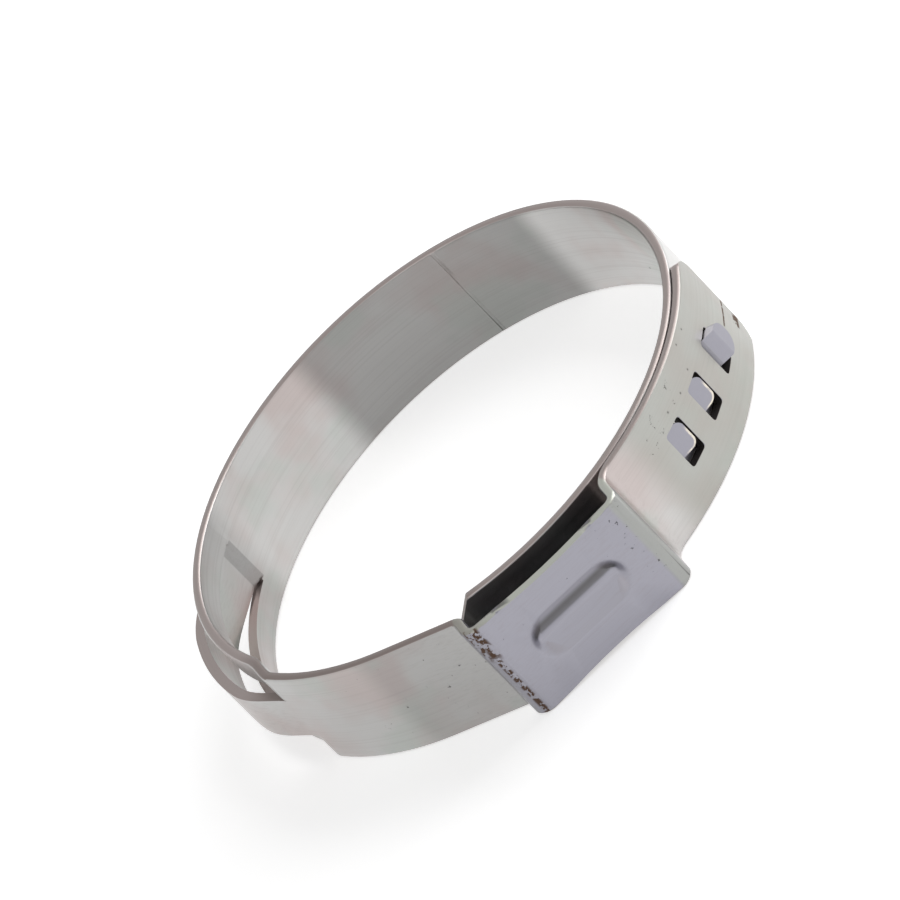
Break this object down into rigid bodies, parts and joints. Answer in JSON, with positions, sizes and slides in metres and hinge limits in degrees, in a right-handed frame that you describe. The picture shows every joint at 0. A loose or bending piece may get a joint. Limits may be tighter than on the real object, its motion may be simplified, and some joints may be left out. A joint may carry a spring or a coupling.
{
  "type": "ear hose clamp",
  "caption": "Crimp ear clamp for a hose: a rolled strip of stainless steel with a folded ear, pierced windows over punched hooks, and a tongue sliding under a raised channel.",
  "frame": {"origin": "on the ring axis, in the plane of the lower rim that it lies on", "axes": "+Z along the ring axis, upward from the rim it lies on; -Y towards the ear; +X towards the windows and the outer end"},
  "size_m": [0.0347, 0.0358, 0.007],
  "materials": {
    "strip": "rolled stainless strip, cut edges rounded, slightly stained"
  },
  "bodies": {
    "root": {"clamp_band": "strip"}
  },
  "joints": []
}
